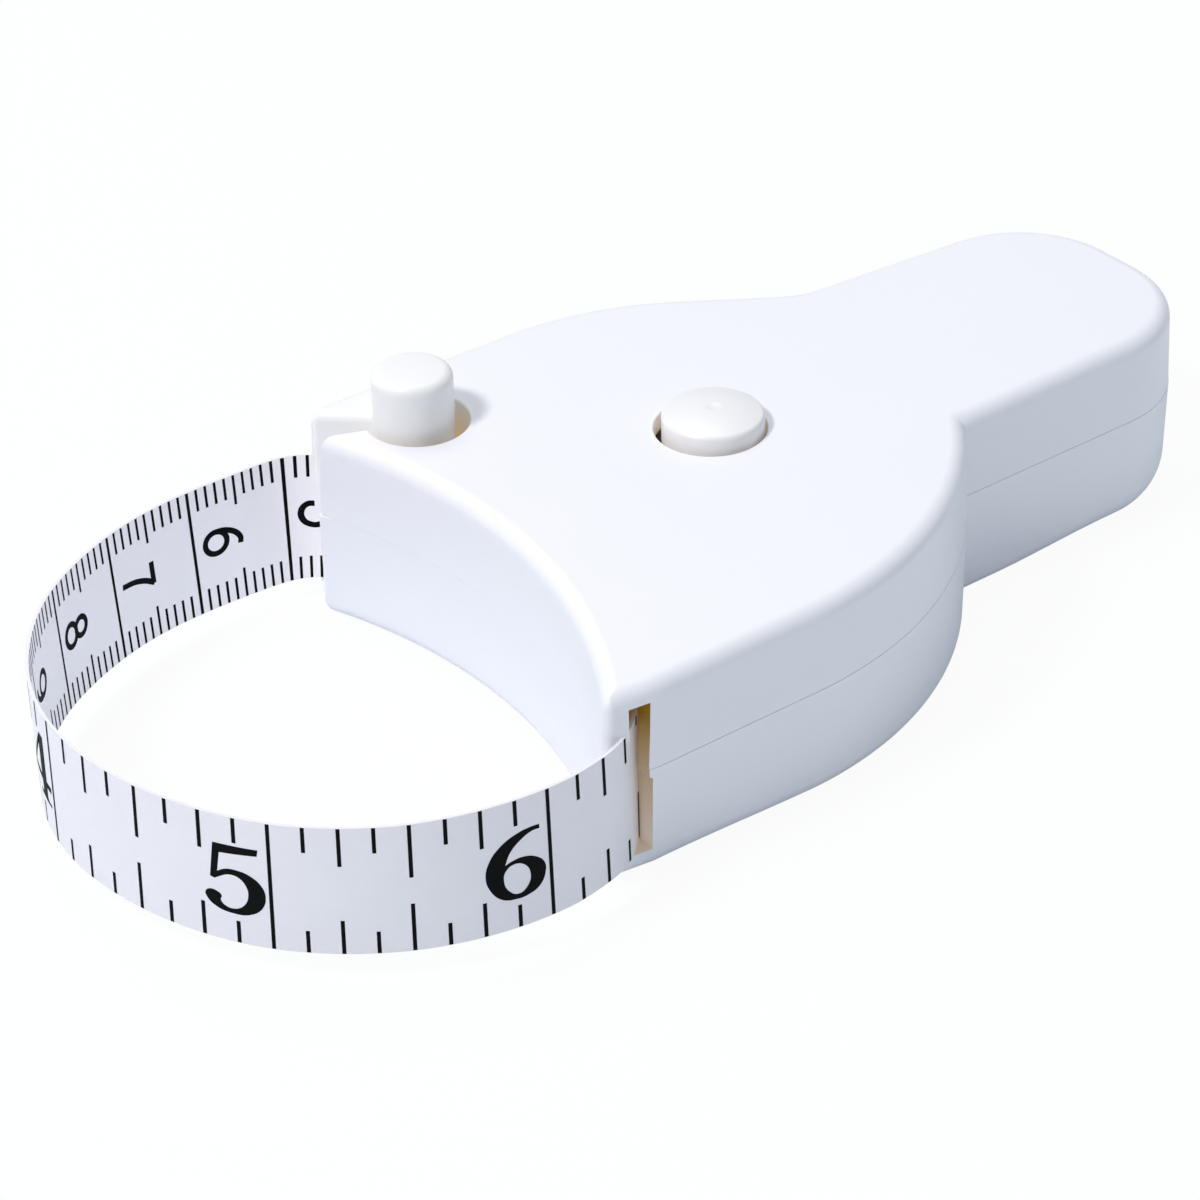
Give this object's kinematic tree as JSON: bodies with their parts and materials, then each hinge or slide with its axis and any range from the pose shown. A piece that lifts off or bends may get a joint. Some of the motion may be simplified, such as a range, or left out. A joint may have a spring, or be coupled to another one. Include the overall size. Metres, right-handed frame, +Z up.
{
  "type": "body tape measure",
  "caption": "Push-button body tape measure: a casing with two horns and a grip, a sprung reel of printed tape looped between the horns, and a peg that locks in its socket.",
  "frame": {"origin": "on the reel and button axis, at the casing's underside", "axes": "+Z up out of the casing's top; +Y from the reel to the grip's end; -Y to the two horns and the tape loop; +X to the exit horn, -X to the peg horn"},
  "size_m": [0.0598, 0.1248, 0.0254],
  "materials": {
    "white_shell": "satin white with a cool tint",
    "white_button": "satin white",
    "white_peg": "satin white",
    "natural_plastic": "natural acetal",
    "black_rubber": "matt",
    "spring_steel": "oiled spring steel",
    "screw_steel": "zinc plated",
    "coated_cloth": "white vinyl-coated cloth with black print"
  },
  "bodies": {
    "casing": {"lower_shell": "white_shell", "upper_shell": "white_shell", "casing_screw_1": "screw_steel", "casing_screw_2": "screw_steel", "casing_screw_3": "screw_steel", "arbor": "natural_plastic", "power_spring": "spring_steel", "brake_ring": "black_rubber", "tape_run": "coated_cloth", "tape_loop": "coated_cloth"},
    "reel": {"reel_drum": "natural_plastic", "reel_flange": "natural_plastic", "spring_cover": "natural_plastic", "wound_tape": "coated_cloth"},
    "button": {"button": "white_button", "button_spring": "spring_steel"},
    "peg": {"peg": "white_peg", "peg_pin": "screw_steel", "tape_eye": "coated_cloth"}
  },
  "joints": [
    {"name": "reel_spin", "type": "hinge", "parent": "casing", "child": "reel", "pos_m": [0, 0, 0.01], "axis": [0, 0, 1], "range_deg": [-3960, 450]},
    {"name": "button_press", "type": "slide", "parent": "casing", "child": "button", "axis": [0, 0, -1], "range_m": [0, 0.0016], "stiffness_N_per_m": 900, "springref_m": -0.001, "deforming": ["button_spring"]},
    {"name": "peg_lift", "type": "slide", "parent": "casing", "child": "peg", "axis": [0, 0, 1], "range_m": [0, 0.0185]}
  ]
}
